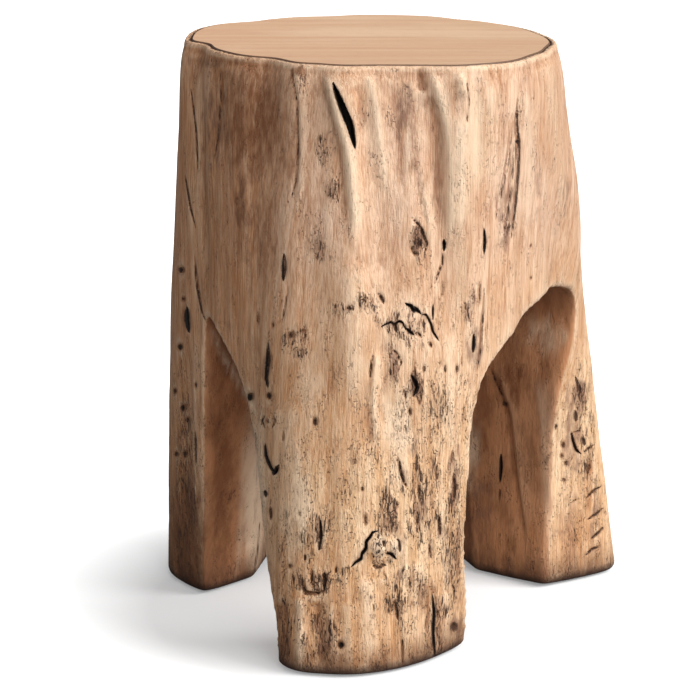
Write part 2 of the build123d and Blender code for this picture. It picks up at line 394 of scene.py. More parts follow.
# Flutes and ridges: a line in the picture from top to bottom, how far the form reaches to
# its left and to its right, how far it stands out (below zero: how deep it is), all in mm,
# and its painted tone from -1, painted shade, to 1, painted highlight
folds = (
    (((200, 62), (200, 130), (200, 200), (204, 300)), 5.0, 2.5, 1.3, 0.3),
    (((222, 63), (221, 97), (218, 139), (213, 165)), 7.0, 3.0, -2.0, -0.7),
    (((246, 62), (244, 130), (240, 200)), 9.0, 9.0, 1.0, 0.1),
    (((288, 62), (293, 80), (296, 104), (297, 153), (295, 181), (292, 196), (285, 210)),
     24.0, 1.2, -0.6, -0.6),
    (((293, 62), (299, 80), (302, 104), (303, 153), (301, 181), (298, 200), (290, 215)),
     3.0, 8.0, 0.7, 0.1),
    (((319, 72), (324, 96), (332, 125), (339, 155), (343, 190), (346, 215), (348, 255)),
     13.0, 3.0, -2.0, -0.35),
    (((327, 72), (331, 90), (336, 108), (341, 126), (347, 146),
      (350, 165), (353, 195), (355, 223), (356, 262)),
     3.6, 6.5, 2.5, 0.9),
    (((356, 84), (361, 110), (364, 138)), 5.0, 5.0, -1.2, -0.1),
    (((366, 68), (374, 97), (377, 118), (381, 146), (385, 175), (387, 205)), 5.0, 5.0, 2.0, 0.7),
    (((396, 82), (398, 110), (400, 150), (402, 200)), 9.0, 6.0, -2.2, -0.5),
    (((410, 90), (412, 125), (416, 165), (421, 195), (424, 228)), 6.0, 6.0, -0.8, -0.55),
    (((419, 66), (421, 80), (424, 96)), 5.0, 5.0, -2.4, -0.8),
    (((428, 88), (436, 115), (440, 140), (438, 165), (438, 195), (441, 215), (441, 240)),
     14.0, 4.0, -2.4, -0.5),
    (((431, 74), (440, 100), (447, 128), (451, 160), (451, 195), (450, 225), (447, 262)),
     4.0, 8.0, 2.3, 0.8),
    (((432, 72), (437, 82), (438, 93)), 4.0, 3.0, 1.6, 0.3),
    (((459, 68), (463, 84), (465, 100)), 7.0, 2.5, 2.8, 0.4),
    (((458, 112), (461, 150), (462, 200), (458, 250)), 6.0, 7.0, 1.2, 0.8),
    (((479, 76), (480, 120), (479, 180)), 3.0, 3.0, -0.8, -0.15),
    (((490, 80), (492, 140), (488, 210)), 8.0, 8.0, 1.2, 0.3),
    (((515, 110), (512, 160), (507, 205), (503, 240)), 10.0, 5.0, -1.8, -0.3),
    (((525, 88), (528, 130), (528, 180), (523, 245)), 4.0, 6.0, 1.4, 0.5),
    (((548, 56), (553, 110), (560, 170), (565, 235)), 6.0, 6.0, 1.3, 0.3),
    (((352, 262), (357, 330), (353, 420)), 10.0, 22.0, 1.4, 0.3),
    (((383, 335), (388, 400), (384, 470)), 8.0, 8.0, -1.6, -0.15),
    (((376, 350), (372, 400), (378, 460)), 1.8, 7.0, 2.0, 0.5),
    (((402, 395), (408, 430), (412, 470)), 9.0, 5.0, -1.2, -0.1),
    (((449, 330), (449, 400), (452, 460)), 5.0, 5.0, 1.2, 0.3),
    (((291, 400), (296, 470), (300, 560)), 12.0, 12.0, 1.4, 0.3),
    (((330, 430), (334, 500), (338, 560)), 7.0, 7.0, -0.9, 0.0),
    (((284, 600), (284, 640), (286, 668)), 6.0, 4.0, -2.2, -0.8),
    (((300, 596), (301, 640), (299, 672)), 4.0, 4.0, 2.0, 0.6),
    (((316, 600), (320, 636), (323, 676)), 5.0, 5.0, -2.6, -0.6),
    (((367, 575), (369, 620), (371, 668)), 6.0, 6.0, 1.6, 0.5),
    (((345, 600), (350, 640), (350, 676)), 8.0, 6.0, 1.2, 0.0),
    (((390, 600), (396, 640), (396, 668)), 6.0, 6.0, -1.2, -0.2),
    (((414, 560), (416, 620), (418, 660)), 7.0, 7.0, 1.4, 0.3),
    (((446, 590), (447, 630), (447, 655)), 5.0, 5.0, 1.3, 0.3),
    (((262, 450), (266, 520), (270, 600)), 4.0, 5.0, 0.8, 0.3),
    (((223, 410), (222, 500), (222, 592)), 8.0, 6.0, -1.6, -0.6),
    (((244, 430), (242, 500), (238, 560), (232, 596)), 2.5, 6.0, 1.8, 0.5),
    (((258, 410), (258, 500), (250, 590)), 9.0, 8.0, 0.2, 0.5),
    (((186, 340), (184, 430), (184, 560)), 5.0, 5.0, -1.2, -0.3),
    (((196, 330), (195, 430), (198, 580)), 3.0, 5.0, 1.4, 0.3),
    (((489, 365), (505, 404), (509, 416), (513, 456), (518, 486), (523, 526), (525, 570)),
     5.0, 1.6, -2.2, -0.6),
    (((494, 365), (510, 404), (515, 430), (520, 486), (528, 540)), 1.6, 7.0, 1.6, 0.1),
    (((541, 325), (541, 350), (540, 378)), 7.0, 5.0, -1.2, -0.6),
    (((537, 376), (543, 426), (546, 486), (549, 546), (540, 584)), 2.5, 8.0, 0.5, 0.35),
    (((556, 420), (560, 500), (562, 560)), 9.0, 9.0, -1.4, -0.1),
    (((585, 350), (591, 430), (599, 520)), 5.0, 4.0, 1.2, 0.0),
    (((210, 326), (220, 351), (238, 381), (256, 413), (262, 440)), 1.2, 2.2, 0.0, 0.9),
)

# Splits and deep marks: a line in the picture, half-width and depth in mm
splits = (
    (((333, 83), (338, 97), (344, 111), (350, 125), (355, 148)), 3.1, 12.0),
    (((284, 254), (284, 268), (283, 281)), 1.9, 8.0),
    (((191, 89), (194, 111), (197, 139), (198, 172)), 0.8, 1.6),
    (((185, 174), (190, 206), (196, 229)), 0.8, 1.6),
    (((220, 66), (221, 97), (218, 139), (214, 160)), 0.8, 1.2),
    (((291, 66), (297, 104), (298, 153), (296, 181), (292, 195), (285, 208)), 0.8, 1.4),
    (((194, 254), (197, 287), (202, 313), (206, 321)), 0.9, 2.4),
    (((187, 307), (187, 320), (189, 332)), 2.4, 6.0),
    (((196, 427), (196, 464)), 0.8, 1.6),
    (((288, 285), (283, 318), (278, 325)), 0.8, 1.0),
    (((268, 343), (268, 360), (266, 378), (268, 388)), 1.9, 5.0),
    (((373, 354), (371, 366), (370, 377)), 0.9, 2.0),
    (((425, 253), (427, 244), (423, 233), (418, 224), (412, 218)), 1.1, 2.4),
    (((410, 243), (414, 254), (421, 255)), 0.9, 1.8),
    (((444, 239), (444, 251)), 1.5, 4.0),
    (((443, 253), (442, 264), (437, 277), (434, 286)), 0.8, 1.6),
    (((466, 76), (468, 90), (469, 102), (468, 113), (466, 127)), 0.7, 1.4),
    (((484, 228), (485, 240), (484, 254)), 1.2, 4.0),
    (((480, 280), (480, 306)), 0.9, 1.2),
    (((484, 287), (484, 306), (482, 328), (481, 346), (479, 360), (477, 371)), 0.8, 1.5),
    (((474, 334), (474, 343), (473, 353)), 1.4, 4.0),
    (((405, 303), (408, 305), (411, 306), (414, 311), (416, 309), (421, 314)), 1.8, 4.0),
    (((422, 315), (426, 314), (428, 318), (431, 324), (433, 332), (439, 341)), 1.1, 3.0),
    (((381, 327), (386, 324), (391, 322), (394, 325), (399, 321), (403, 323), (405, 329)), 1.0, 3.0),
    (((395, 323), (396, 332)), 1.3, 2.4),
    (((406, 328), (410, 332), (414, 335)), 1.5, 3.4),
    (((414, 333), (419, 334), (423, 338)), 1.0, 1.8),
    (((430, 341), (431, 348)), 1.0, 2.0),
    (((433, 304), (433, 320)), 0.8, 3.0),
    (((443, 279), (443, 297)), 0.7, 1.2),
    (((378, 292), (382, 299), (384, 304)), 1.2, 2.4),
    (((360, 301), (366, 298), (373, 299)), 0.8, 1.2),
    (((392, 348), (397, 354), (401, 362), (399, 370)), 0.9, 2.0),
    (((411, 375), (415, 381), (417, 388), (414, 396)), 1.8, 3.6),
    (((404, 389), (406, 399)), 1.1, 2.0),
    (((518, 95), (517, 111), (517, 124), (519, 142), (519, 152),
      (518, 175), (516, 202), (513, 225), (511, 240)),
     1.1, 2.0),
    (((518, 128), (519, 150), (518, 166)), 1.1, 3.0),
    (((513, 122), (508, 165), (500, 200), (495, 222)), 0.9, 0.9),
    (((515, 140), (511, 190), (504, 238)), 0.9, 1.1),
    (((489, 365), (497, 384), (505, 402)), 0.9, 1.2),
    (((504, 401), (506, 407)), 2.0, 2.0),
    (((501, 454), (501, 468), (500, 482)), 1.5, 3.4),
    (((500, 488), (499, 503)), 0.9, 1.6),
    (((575, 376), (579, 388), (581, 403)), 1.5, 1.6),
    (((575, 410), (576, 422)), 1.6, 1.8),
    (((571, 433), (573, 441), (576, 450), (581, 454)), 1.3, 3.0),
    (((582, 436), (585, 446)), 1.4, 2.0),
    (((571, 434), (581, 430)), 0.8, 1.4),
    (((584, 452), (590, 447), (596, 444)), 0.9, 1.6),
    (((586, 498), (593, 491), (601, 486)), 1.0, 1.8),
    (((587, 520), (596, 514), (603, 508)), 1.0, 1.8),
    (((590, 540), (598, 533), (604, 526)), 1.0, 1.8),
    (((585, 556), (592, 549), (602, 545)), 1.0, 1.8),
    (((567, 506), (575, 500), (584, 496)), 0.8, 1.0),
    (((260, 521), (258, 547), (254, 575), (252, 589)), 0.8, 1.2),
    (((273, 415), (275, 421), (272, 428)), 0.8, 1.6),
    (((265, 415), (262, 421), (265, 428)), 0.8, 1.6),
    (((283, 431), (283, 442)), 0.9, 1.6),
    (((265, 443), (266, 456), (271, 468), (275, 475)), 1.5, 3.8),
    (((273, 475), (279, 465)), 2.0, 4.4),
    (((270, 506), (271, 520)), 1.1, 2.2),
    (((265, 490), (266, 497)), 1.6, 3.2),
    (((320, 520), (321, 535), (319, 550)), 1.5, 3.2),
    (((305, 554), (305, 562)), 1.0, 1.8),
    (((398, 456), (401, 473), (404, 482), (408, 489)), 1.1, 2.6),
    (((419, 478), (420, 503)), 0.9, 1.6),
    (((416, 515), (420, 531)), 0.9, 1.6),
    (((437, 465), (437, 483)), 1.0, 1.6),
    (((439, 514), (440, 536)), 1.2, 2.2),
    (((429, 543), (431, 559)), 0.9, 1.6),
    (((366, 511), (366, 528)), 1.1, 2.4),
    (((376, 483), (377, 495)), 0.8, 1.2),
    (((378, 531), (373, 532), (370, 537), (366, 542), (366, 549),
      (362, 553), (361, 559), (356, 562), (351, 567)),
     1.5, 4.4),
    (((384, 539), (384, 547)), 1.2, 2.6),
    (((386, 553), (391, 554), (396, 559)), 1.4, 3.2),
    (((396, 538), (399, 541), (400, 553)), 1.0, 2.4),
    (((372, 565), (379, 568), (387, 563)), 1.1, 2.4),
    (((343, 565), (343, 579)), 1.0, 1.6),
    (((336, 566), (336, 575)), 0.9, 1.4),
    (((325, 571), (325, 582), (324, 590)), 1.3, 2.8),
    (((302, 575), (303, 585), (305, 593), (315, 594), (326, 590)), 1.2, 2.6),
    (((311, 568), (313, 588)), 1.0, 1.8),
    (((395, 599), (397, 611), (399, 622)), 1.2, 2.0),
    (((402, 636), (403, 650), (403, 667)), 0.9, 2.0),
    (((432, 594), (434, 612), (433, 634), (435, 657)), 1.5, 3.6),
    (((438, 609), (438, 621)), 0.9, 1.6),
    (((453, 450), (452, 463)), 0.9, 1.6),
    (((454, 473), (455, 488), (454, 503)), 1.2, 2.4),
    (((450, 560), (452, 580), (456, 600)), 0.8, 1.2),
)

# Pits and small knots: middle in the picture, half-width, half-height and depth in mm
pits = (
    (181, 270, 1.8, 2.4, 3.0), (183, 299, 1.2, 1.6, 2.0), (180, 347, 1.8, 2.4, 3.0),
    (183, 408, 1.6, 2.4, 3.0), (175, 391, 1.2, 2.0, 2.0), (196, 385, 1.0, 2.0, 2.0),
    (188, 420, 1.3, 2.0, 2.0), (185, 454, 1.3, 2.6, 2.0), (176, 454, 1.2, 2.0, 2.0),
    (250, 397, 2.4, 3.2, 3.6), (269, 396, 1.8, 2.6, 3.0), (258, 319, 1.0, 4.0, 1.4),
    (273, 325, 1.1, 2.0, 1.4), (291, 335, 2.4, 2.6, 1.4), (302, 331, 1.2, 1.6, 1.2),
    (310, 286, 0.9, 1.2, 1.0), (357, 286, 0.9, 1.0, 1.0), (349, 308, 2.2, 1.8, 1.8),
    (315, 422, 1.6, 3.2, 2.2), (457, 369, 1.1, 3.0, 2.0), (428, 381, 0.9, 0.9, 1.4),
    (424, 369, 1.1, 2.6, 1.6), (445, 369, 0.9, 3.0, 1.8), (462, 361, 0.8, 3.0, 1.0),
    (410, 412, 1.4, 3.0, 2.2), (420, 402, 1.0, 2.0, 1.4), (437, 417, 1.0, 1.6, 1.2),
    (354, 461, 1.4, 1.8, 1.2), (362, 489, 1.4, 1.8, 1.4), (556, 427, 1.4, 2.4, 1.2),
    (563, 445, 1.4, 2.6, 1.8), (562, 456, 1.2, 1.8, 1.6), (566, 463, 1.4, 1.8, 1.6),
    (564, 480, 1.6, 1.6, 1.4), (588, 468, 2.2, 4.6, 1.2), (341, 645, 2.4, 2.8, 3.4),
    (454, 627, 3.0, 3.6, 2.2), (397, 504, 1.0, 2.4, 1.4), (392, 520, 1.0, 2.4, 1.4),
    (557, 145, 0.9, 0.9, 1.0), (531, 246, 0.9, 1.4, 1.2), (531, 278, 0.9, 1.4, 1.2),
    (420, 244, 2.4, 3.4, 1.6), (378, 440, 1.0, 2.0, 1.0), (268, 421, 3.0, 4.0, -1.0),
    (268, 421, 1.2, 1.8, 1.0), (378, 547, 7.0, 8.0, -4.0), (396, 549, 7.0, 8.0, -3.0),
    (382, 581, 5.0, 3.0, -0.8), (320, 541, 2.0, 4.6, 1.2), (290, 566, 2.0, 1.6, 1.2),
    (300, 514, 0.9, 2.0, 1.2), (349, 400, 0.8, 1.6, 0.9),
)

# Paint: middle in the picture, half-width and half-height in millimetres, and share. The
# first kind is old brown wood and painted shade on faces turned from the light, mauve is
# where bark sat, the third kind is rubbed wood and painted highlight on lit facets and on
# knots' bosses, and busy is full of marks.
paints = {
    # Old brown wood, and painted shade where faces turn from the light
    "dark": (
        (273, 104, 10, 30, 0.8), (240, 210, 6, 24, 1.1), (297, 72, 8, 5, 0.9), (252, 120, 30, 54, 1.0),
        (206, 150, 10, 60, 0.35), (268, 421, 3.5, 5, 1.2), (425, 600, 11, 15, 0.8),
        (572, 530, 9, 36, 0.6), (375, 622, 9, 12, 0.4), (256, 230, 20, 50, 0.6), (513, 385, 8, 18, 1.0),
        (225, 62, 40, 5, 0.8), (187, 320, 5, 14, 0.6), (187, 530, 14, 50, 1.0), (178, 440, 6, 12, 0.4),
        (181, 495, 6, 14, 0.6), (300, 615, 9, 14, 0.5), (222, 480, 9, 80, 0.75), (255, 354, 4, 8, 0.6),
        (268, 366, 5, 20, 0.6), (222, 330, 8, 34, 0.4), (180, 590, 24, 14, 1.3), (418, 326, 10, 6, 0.5),
        (500, 385, 12, 18, 0.6), (511, 545, 6, 18, 0.7), (480, 470, 9, 80, 0.5), (312, 582, 8, 9, 0.4),
        (360, 560, 5, 6, 0.6), (512, 345, 16, 12, 0.3), (284, 640, 6, 24, 0.7), (340, 645, 5, 5, 0.5),
        (508, 480, 8, 50, 0.25), (300, 331, 8, 6, 0.3),
    ),
    "mauve": (
        (212, 128, 8, 32, 0.6), (242, 210, 7, 24, 0.5), (310, 90, 8, 10, 0.35), (573, 430, 9, 44, 0.75),
        (404, 112, 8, 24, 0.85), (334, 187, 7, 9, 0.5), (318, 246, 12, 14, 0.5), (381, 300, 3, 10, 0.8),
        (394, 363, 5, 14, 1.0), (419, 238, 6, 14, 0.9), (418, 386, 5, 10, 0.9), (468, 305, 4, 12, 0.8),
        (475, 352, 6, 18, 0.9), (506, 210, 8, 28, 0.8), (508, 236, 6, 16, 0.7), (537, 180, 4, 24, 0.6),
        (567, 195, 4, 30, 0.6), (319, 537, 4, 12, 1.0), (391, 512, 9, 17, 0.8), (419, 508, 6, 10, 0.9),
        (438, 472, 3, 10, 0.8), (454, 478, 5, 24, 0.9), (458, 560, 3, 44, 0.8), (456, 626, 5, 9, 0.9),
        (459, 650, 6, 7, 0.9), (322, 640, 9, 24, 0.7), (390, 560, 4, 4, 0.6), (580, 390, 5, 14, 0.8),
        (578, 440, 7, 12, 0.8), (596, 520, 6, 34, 0.6), (590, 572, 18, 9, 0.7), (550, 576, 16, 6, 0.4),
        (561, 536, 7, 7, 0.5), (300, 580, 5, 10, 0.5), (441, 528, 3, 12, 0.7), (431, 550, 3, 8, 0.7),
        (411, 450, 5, 8, 0.5), (428, 432, 4, 8, 0.5), (405, 480, 4, 14, 0.5), (355, 330, 6, 10, 0.2),
    ),
    # Rubbed wood, and painted highlight on lit facets and on knots' bosses
    "cream": (
        (255, 505, 9, 70, 1.0), (375, 180, 12, 60, 0.25), (475, 130, 8, 46, 0.8),
        (565, 500, 12, 50, 0.15), (546, 334, 14, 12, 0.45), (372, 125, 7, 24, 0.4),
        (308, 380, 10, 22, 0.45), (300, 500, 9, 34, 0.8), (397, 430, 11, 32, 0.9), (379, 546, 6, 7, 1.0),
        (398, 548, 6, 9, 0.9), (330, 115, 12, 30, 0.2), (465, 90, 5, 16, 0.4), (300, 640, 4, 22, 0.6),
        (369, 625, 4, 34, 0.3), (415, 575, 10, 20, 0.3), (447, 575, 4, 24, 0.4), (460, 250, 6, 40, 0.4),
    ),
    "busy": (
        (322, 148, 6, 10, 0.72), (335, 187, 7, 9, 0.6), (318, 246, 12, 14, 0.4), (303, 90, 5, 9, 0.4),
        (419, 238, 6, 14, 0.9), (366, 300, 9, 6, 0.7), (349, 309, 8, 5, 0.7), (392, 325, 10, 8, 0.7),
        (415, 328, 16, 12, 0.7), (394, 363, 5, 14, 0.8), (416, 386, 6, 12, 0.9), (468, 305, 5, 12, 0.6),
        (288, 338, 6, 8, 0.75), (303, 334, 5, 6, 0.65), (296, 353, 9, 5, 0.65), (390, 512, 10, 18, 0.95),
        (386, 552, 15, 12, 0.55), (313, 582, 13, 12, 1.0), (320, 640, 12, 28, 0.8),
        (425, 500, 20, 34, 0.7), (452, 540, 8, 60, 0.7), (395, 608, 9, 14, 0.9), (437, 625, 9, 26, 0.8),
        (320, 532, 10, 14, 0.6), (440, 405, 16, 26, 0.5), (586, 450, 7, 60, 0.5), (186, 480, 8, 80, 0.7),
        (284, 640, 7, 26, 0.8), (342, 574, 8, 10, 0.6), (410, 580, 20, 14, 0.6), (507, 236, 7, 16, 0.3),
        (580, 390, 5, 14, 0.8),
    ),
}

# The other sides weather as the front does: seeded forms and marks in three level views, in
# millimetres to the right of the log's axis and, below zero, up from the floor
chance = random.Random(41)
view_turns = (118.0, 180.0, 242.0)
view_splits, view_pits, view_folds, fold_gap = 16, 20, 9, 18.0
view_paints = ("dark", "mauve", "cream", "busy", "dark", "mauve", "cream", "busy", "busy")
unseen_folds = []
unseen_splits = []
unseen_pits = []
unseen_paints = []
for turn in view_turns:
    view = side_view(turn)
    for count in range(view_splits):
        x, y = chance.uniform(-75.0, 75.0), -chance.uniform(30.0, 430.0)
        length = chance.uniform(8.0, 42.0)
        lean = chance.uniform(-0.12, 0.12) * length
        bow = chance.uniform(-1.5, 1.5)
        points = ((x, y), (x + lean / 2 + bow, y + length / 2), (x + lean, y + length))
        unseen_splits.append((view, points, chance.uniform(0.8, 1.8), chance.uniform(1.2, 3.1)))
    for count in range(view_pits):
        x, y = chance.uniform(-80.0, 80.0), -chance.uniform(25.0, 330.0)
        size = chance.uniform(1.0, 2.4)
        unseen_pits.append((view, (x, y), size, size * chance.uniform(1.0, 2.0), chance.uniform(1.4, 3.0)))
    for count in range(view_folds):
        x = fold_gap * (count - (view_folds - 1) / 2) + chance.uniform(-5.0, 5.0)
        high, low = chance.uniform(-452.0, -380.0), chance.uniform(-300.0, -40.0)
        sway = chance.uniform(-7.0, 7.0)
        points = ((x, high), (x + sway, high * 0.6 + low * 0.4), (x + chance.uniform(-6.0, 6.0), low))
        tone = chance.choice((-0.5, 0.5))
        left, right = chance.uniform(2.0, 10.0), chance.uniform(2.0, 10.0)
        unseen_folds.append((view, points, left, right, 4.4 * tone * chance.uniform(0.6, 1.2), tone))
    for kind in view_paints:
        spot = (chance.uniform(-80.0, 80.0), -chance.uniform(20.0, 430.0))
        wide, tall = chance.uniform(5.0, 14.0), chance.uniform(12.0, 42.0)
        unseen_paints.append((kind, view, spot, wide, tall, chance.uniform(0.5, 0.9)))

all_folds = [(front_view, pixels(points), *rest) for points, *rest in folds] + unseen_folds
all_splits = [(front_view, pixels(points), *rest) for points, *rest in splits] + unseen_splits
all_pits = [(front_view, pixels(((x, y),))[0], *rest) for x, y, *rest in pits] + unseen_pits
all_paints = unseen_paints + [
    (kind, front_view, pixels(((x, y),))[0], *rest)
    for kind, spots in paints.items()
    for x, y, *rest in spots
]

# How a mark runs out. Paint fades between two distances in its own sizes, and its outline is
# uneven, less so on a patch that reaches some 18 mm or more. A flute or ridge fades over
# shares of its length at its top and its foot, and a split narrows to its ends.
paint_fades, paint_uneven, paint_patch = (0.35, 1.5), 1.1, 20.0
fold_top, fold_foot, fold_edge = (-0.02, 0.12), (0.0, 0.3), 1.5
slim_least = 0.06


def near_spot(skin, view, spot, wide, tall):
    """Vertices near a spot, and how far from its middle each is, in the spot's sizes."""
    chosen = skin.near(view, (spot, (spot[0], spot[1] + 0.001)), max(wide, tall))[0]
    gap = skin.spots[view][chosen] - np.array(spot) if len(chosen) else np.zeros((0, 2))
    return chosen, np.hypot(gap[:, 0] / wide, gap[:, 1] / tall)


def painted(skin, kind):
    """How far each vertex is painted with one kind of paint, in patches of uneven outline."""
    share = np.zeros(len(skin.place))
    for name, view, spot, wide, tall, most in all_paints:
        if name == kind:
            chosen, off = near_spot(skin, view, spot, wide, tall)
            off = off + min(paint_uneven, paint_patch / max(wide, tall)) * skin.uneven[chosen]
            share[chosen] = np.maximum(share[chosen], most * (1.0 - eased(off, *paint_fades)))
    return share


def fold_shares(skin, view, points, left, right):
    """Vertices near a flute or ridge, and how far each belongs to it."""
    chosen, off, along = skin.near(view, points, max(left, right))
    off = np.abs(off * max(left, right) / np.where(off < 0.0, left, right))
    ends = eased(along, *fold_top) * eased(1.0 - along, *fold_foot)
    return chosen, np.exp(-(off**fold_edge)) * ends


def slimness(along):
    """A split's width along its length: 1 in its middle, and least at its ends."""
    return np.sqrt(np.clip(4.0 * along * (1.0 - along), slim_least, 1.0))


# Arrises worn round: line in the picture, and how wide the rounding is in mm
worn = (
    (((572, 338), (566, 380), (551, 425), (543, 470), (540, 520), (537, 586)), 13.0),
    (((207, 430), (208, 500), (208, 598)), 6.0),
)
skin = Skin(log.data)
weights = np.zeros(len(skin.place))
for points, width in worn:
    chosen, off, along = skin.near(front_view, pixels(points), width)
    weights[chosen] = np.maximum(weights[chosen], np.exp(-(off**2)))
weigh(log, "worn", weights)
apply(log, "SMOOTH", factor=0.5, iterations=36, vertex_group="worn")

# Carving, in millimetres along each vertex's facing. Flutes and ridges run on round the legs,
# a split that a cutter opens later is only dented here, and arrises, rim and soles stay calm.
# Each noise has the width and height of its waves in metres, and where it starts.
bulge_rounds = 8
arris_bulge, arris_below = (0.12, 0.35), 0.012
flat_facing = (0.75, 0.93)
leg_tall, leg_share = 0.35, 0.7
wedge_from, wedge_held, dent_most = 2.8, 0.3, 3.0
pit_edge = 1.2
low_from, low_to, low_busy = 0.1, 0.34, 0.25
wave_form = (0.03, 0.16)
ripple_form = (0.009, 0.07, (3.1, 7.7, 1.3))
eaten_form = (0.006, 0.017, (9.2, 1.4, 5.5))
eaten_from, eaten_deep = 0.05, 2.2
wave_high, ripple_high, ripple_low_down = 1.1, 0.5, 0.4
rim_band, rim_rise, rim_sharpened = 0.004, 0.2, 1.0
rim_calm, rim_crisp, crisp_facing = (0.001, 0.01), (0.002, 0.006), (0.05, 0.4)
sole_band, sole_facing = 0.004, -0.8
faces_wanted = 188000

skin = Skin(log.data)
heights = skin.place[:, 2]
arris = skin.spread(eased(skin.bulge(bulge_rounds), *arris_bulge), 2) * (heights < rim_top - arris_below)
flat = eased(skin.outward, *flat_facing) * skin.outside * (1.0 - arris)
move = np.zeros(len(skin.place))
for view, points, left, right, height, tone in all_folds:
    chosen, share = fold_shares(skin, view, points, left, right)
    outside = skin.outside[chosen]
    kept = np.where(heights[chosen] < leg_tall, np.maximum(outside, leg_share), outside)
    move[chosen] += height * share * kept
for view, points, width, depth in all_splits:
    chosen, off, along = skin.near(view, points, width)
    slim = slimness(along)
    held = wedge_held if depth > wedge_from else 1.0
    dent = held * min(depth, dent_most) * slim * np.exp(-((off / slim) ** 2))
    move[chosen] -= dent * (0.4 + 0.6 * flat[chosen])
for view, spot, wide, tall, depth in all_pits:
    chosen, off = near_spot(skin, view, spot, wide, tall)
    move[chosen] -= depth * np.exp(-(off**2) * pit_edge) * skin.outside[chosen]
low_down = 1.0 - eased(heights, low_from, low_to)
rough = np.maximum(painted(skin, "busy"), low_busy * low_down) * flat
wave, ripple, eaten = (waves(skin.place, *form) for form in (wave_form, ripple_form, eaten_form))
shaped = wave_high * wave + (ripple_high + ripple_low_down * low_down) * ripple
shaped *= 0.35 + 0.65 * skin.outside
move += shaped * (1.0 - 0.7 * arris) - eaten_deep * np.maximum(0.0, eaten - eaten_from) * rough

top = heights > rim_top - rim_band
move[top] = np.minimum(move[top], rim_rise)
move[(skin.facing[:, 2] < sole_facing) & (heights < sole_band)] = 0.0
calm = 0.3 + 0.7 * eased(rim_top - heights, *rim_calm)
crisp = rim_sharpened * (1.0 - eased(rim_top - heights, *rim_crisp)) * eased(skin.outward, *crisp_facing)
moved = skin.place + skin.facing * ((move * calm + crisp) * millimetre)[:, None]
moved[:, 2] = np.clip(moved[:, 2], sole, rim_top)
log.data.vertices.foreach_set("co", moved.ravel())
log.data.update()

weigh(log, "arris", arris)
apply(log, "SMOOTH", factor=0.5, iterations=10, vertex_group="arris")

count = sum(len(face.vertices) - 2 for face in log.data.polygons)
if count > faces_wanted:
    apply(log, "DECIMATE", ratio=faces_wanted / count)
print("carved log", len(log.data.polygons), "faces")

# Cutters for the deep splits: stations some 2 mm apart, each turned by its neighbours, with a
# section that narrows from above the lips to the bed. A wide split's lips are torn less.
station_gap, stations_least, stations_beside = 2.2, 5, 3
wedge_lift, lip_flare, bed_share = 0.006, 1.15, 0.45
least_wide, least_deep = 0.12, 0.3
wide_from, wide_torn, torn = 3.0, 0.04, 0.22


def cutter_of(rings, name):
    """A closed cutter through rings of corners."""
    shell = bmesh.new()
    rings = [[shell.verts.new(corner) for corner in ring] for ring in rings]
    for before, after in zip(rings, rings[1:]):
        for index in range(len(before)):
            beside = (index + 1) % len(before)
            shell.faces.new((before[index], before[beside], after[beside], after[index]))
    shell.faces.new(rings[0][::-1])
    shell.faces.new(rings[-1])
    bmesh.ops.recalc_face_normals(shell, faces=shell.faces)
    mesh = bpy.data.meshes.new(name)
    shell.to_mesh(mesh)
    shell.free()
    made = bpy.data.objects.new(name, mesh)
    bpy.context.scene.collection.objects.link(made)
    return made


def cut_away(piece, cutter):
    """Cuts one object out of another, and removes it."""
    apply(piece, "BOOLEAN", operation="DIFFERENCE", object=cutter, solver="MANIFOLD")
    bpy.data.objects.remove(cutter)


def split_wedge(points, width, depth):
    """A cutter for a split with crisp lips: widest in its middle, and torn where it is small."""
    uneven = wide_torn if width > wide_from else torn
    line = [Vector(point) for point in pixels(points)]
    lengths = [0.0]
    for start, end in zip(line, line[1:]):
        lengths.append(lengths[-1] + (end - start).length)
    stations = max(stations_least, int(lengths[-1] / station_gap))
    hits = []
    for step in range(stations + 1):
        reach = lengths[-1] * step / stations
        leg = max(index for index, length in enumerate(lengths[:-1]) if length <= reach)
        share = (reach - lengths[leg]) / max(lengths[leg + 1] - lengths[leg], 1e-6)
        spot = line[leg].lerp(line[leg + 1], share)
        way = sight_line(spot.x / mm_in_pixel, spot.y / mm_in_pixel)
        hit, facing = bare.ray_cast(camera_place, way)[:2]
        if hit is not None:
            hits.append((hit, facing, step / stations))
    rings = []
    for index, (hit, facing, share) in enumerate(hits):
        beside = hits[max(index - stations_beside, 0) : index + stations_beside + 1]
        facing = sum((other[1] for other in beside), Vector()).normalized()
        tangent = beside[-1][0] - beside[0][0]
        side = facing.cross(tangent).normalized()
        full = max(least_wide, math.sqrt(max(4.0 * share * (1.0 - share), 0.0)))
        deep = depth * millimetre * max(least_deep, full)
        half = width * millimetre * full
        left = half * chance.uniform(1.0 - uneven, 1.0 + uneven)
        right = half * chance.uniform(1.0 - uneven, 1.0 + uneven)
        above, below = hit + facing * wedge_lift, hit - facing * deep
        lips = (above - side * left * lip_flare, above + side * right * lip_flare)
        bed = (below + side * right * bed_share, below - side * left * bed_share)
        rings.append(lips + bed)
    return cutter_of(rings, "split_wedge")


for points, width, depth in splits:
    if depth > wedge_from:
        cut_away(log, split_wedge(points, width, depth))
print("carved log", len(log.data.polygons), "faces after splitting")

